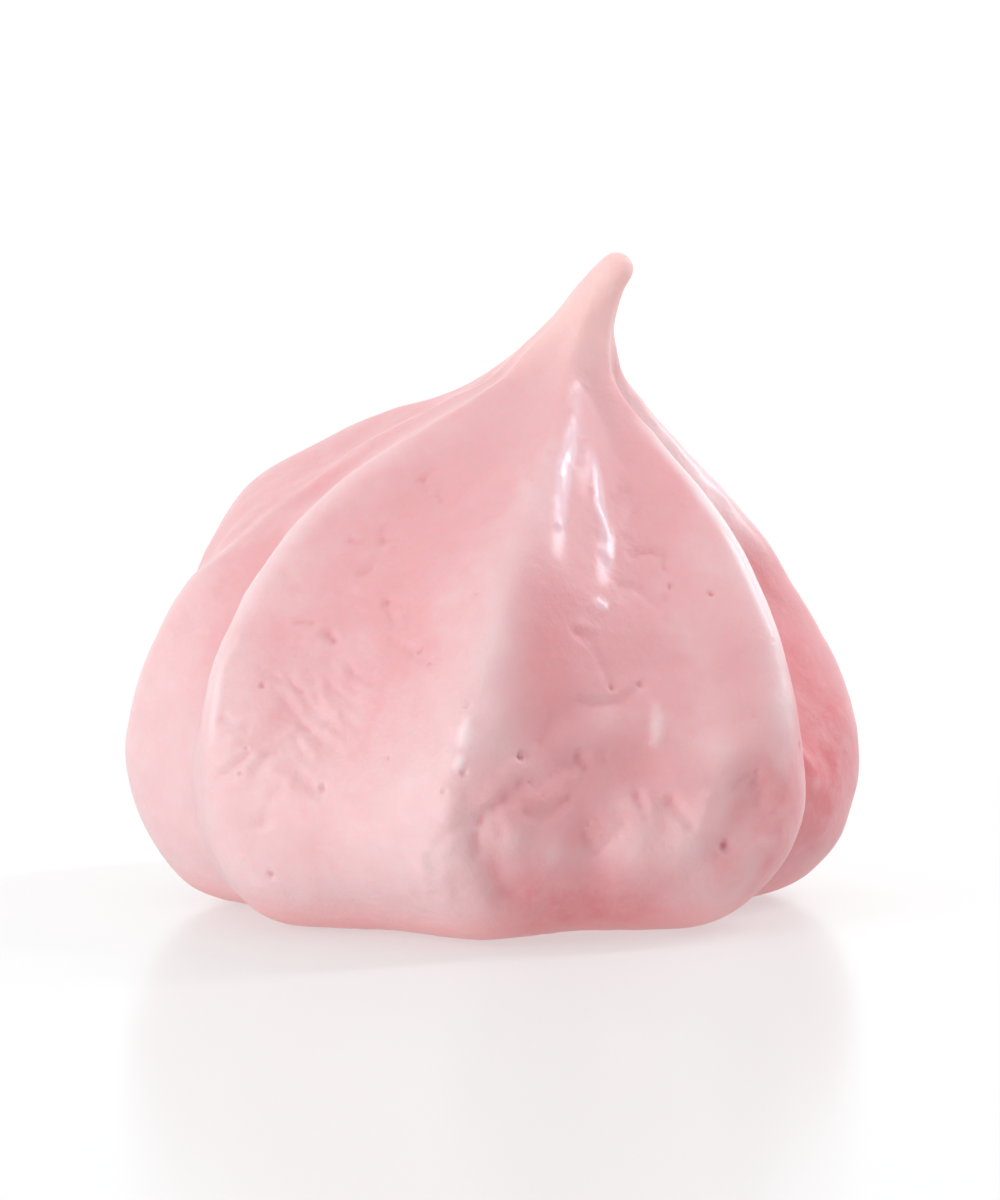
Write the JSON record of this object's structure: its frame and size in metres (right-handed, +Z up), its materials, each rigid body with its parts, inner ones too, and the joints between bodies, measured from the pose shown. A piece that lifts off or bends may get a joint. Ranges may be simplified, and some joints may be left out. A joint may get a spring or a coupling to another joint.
{
  "type": "meringue cookie",
  "caption": "Piped meringue kiss, a baked star-shaped swirl with soft crests and shallow valleys that rises from a flat foot to a curled nub.",
  "frame": {"origin": "on the surface that the foot rests on, under the middle of the cookie's box", "axes": "+Z up from the foot to the nub, +X the way the nub curls, -Y the front"},
  "size_m": [0.0426, 0.0424, 0.0374],
  "materials": {
    "pink_meringue": "dry satin skin of baked pink meringue"
  },
  "bodies": {
    "root": {"meringue": "pink_meringue"}
  },
  "joints": []
}
